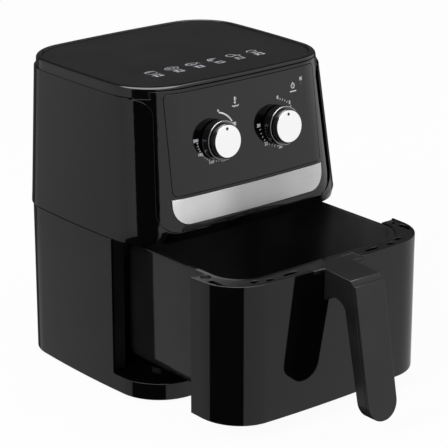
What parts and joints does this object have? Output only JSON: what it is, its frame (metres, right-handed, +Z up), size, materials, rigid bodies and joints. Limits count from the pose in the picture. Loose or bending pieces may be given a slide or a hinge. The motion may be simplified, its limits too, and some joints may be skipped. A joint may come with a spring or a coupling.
{
  "type": "air fryer",
  "caption": "Countertop air fryer with a pull-out drawer that holds a pan, a leaning front handle and a sloping front panel with round temperature and timer dials.",
  "frame": {"origin": "on the table, under the middle of the box round the whole object with the drawer out as pictured", "axes": "+Z up, -Y the front that the drawer comes out of, +X to the right of someone who stands at the front and looks at it"},
  "size_m": [0.27, 0.4153, 0.3114],
  "materials": {
    "housing_black": "gloss black",
    "panel_black": "fine satin black",
    "fascia_black": "gloss black with printed dial marks",
    "inner_plastic": "plain moulded black",
    "silver_face": "fine satin silver",
    "brushed_strip": "brushed along its length",
    "lens_red": "unlit lamp lens",
    "dark_rubber": "matt rubber",
    "sheet_steel": "bare sheet",
    "pan_coating": "non-stick coating",
    "element_tube": "heat-darkened tube",
    "white_ceramic": "white fired blocks",
    "fan_aluminium": "pressed sheet",
    "brass_nut": "turned",
    "control_case": "natural moulding"
  },
  "bodies": {
    "housing": {"base_shell": "housing_black", "bottom_cover": "inner_plastic", "feet": "dark_rubber", "base_screws": "sheet_steel", "cord_gland": "dark_rubber", "terminal_block": "control_case", "upper_housing": "housing_black", "top_cover": "housing_black", "top_panel": "panel_black", "front_bezel": "housing_black", "control_fascia": "fascia_black", "trim_strip": "brushed_strip", "indicator_lens": "lens_red", "rear_vent_grille": "inner_plastic", "bay_liner": "inner_plastic", "floor_rails": "inner_plastic", "heating_chamber": "sheet_steel", "heating_element": "element_tube", "element_terminals": "white_ceramic", "element_guard": "sheet_steel", "fan_baffle": "sheet_steel", "motor_bracket": "sheet_steel", "motor": "sheet_steel", "thermal_fuse": "white_ceramic", "control_bracket": "sheet_steel", "thermostat": "control_case", "timer": "control_case", "timer_bell": "sheet_steel", "interlock_switch": "control_case"},
    "drawer": {"pan": "pan_coating", "pan_skids": "inner_plastic", "drawer_front": "housing_black", "drawer_top_frame": "inner_plastic", "handle": "housing_black", "handle_cover": "housing_black", "handle_screws": "sheet_steel"},
    "crisper": {"crisper_plate": "pan_coating", "crisper_bumpers": "dark_rubber"},
    "temperature_dial": {"temperature_knob": "housing_black", "temperature_knob_cap": "silver_face", "temperature_shaft": "sheet_steel"},
    "timer_dial": {"timer_knob": "housing_black", "timer_knob_cap": "silver_face", "timer_shaft": "sheet_steel"},
    "rotor": {"motor_shaft": "sheet_steel", "convection_fan": "fan_aluminium", "cooling_fan": "fan_aluminium", "fan_nut": "brass_nut"},
    "plunger": {"switch_plunger": "inner_plastic"}
  },
  "joints": [
    {"name": "drawer_slide", "type": "slide", "parent": "housing", "child": "drawer", "axis": [0, -0.9989, -0.0474], "range_m": [-0.11613, 0.09]},
    {"name": "crisper_lift", "type": "slide", "parent": "drawer", "child": "crisper", "axis": [0, 0, 1], "range_m": [0, 0.1]},
    {"name": "temperature_turn", "type": "hinge", "parent": "housing", "child": "temperature_dial", "pos_m": [-0.0389, -0.00767, 0.253], "axis": [0, -0.9923, 0.1236], "range_deg": [-300, 0]},
    {"name": "timer_turn", "type": "hinge", "parent": "housing", "child": "timer_dial", "pos_m": [0.0389, -0.00767, 0.253], "axis": [0, -0.9923, 0.1236], "range_deg": [-330, 0]},
    {"name": "fan_spin", "type": "hinge", "parent": "housing", "child": "rotor", "pos_m": [0, 0.097, 0.23], "axis": [0, 0, 1], "continuous": true},
    {"name": "plunger_press", "type": "slide", "parent": "housing", "child": "plunger", "axis": [0, 1, 0], "range_m": [0, 0.002], "stiffness_N_per_m": 200}
  ]
}
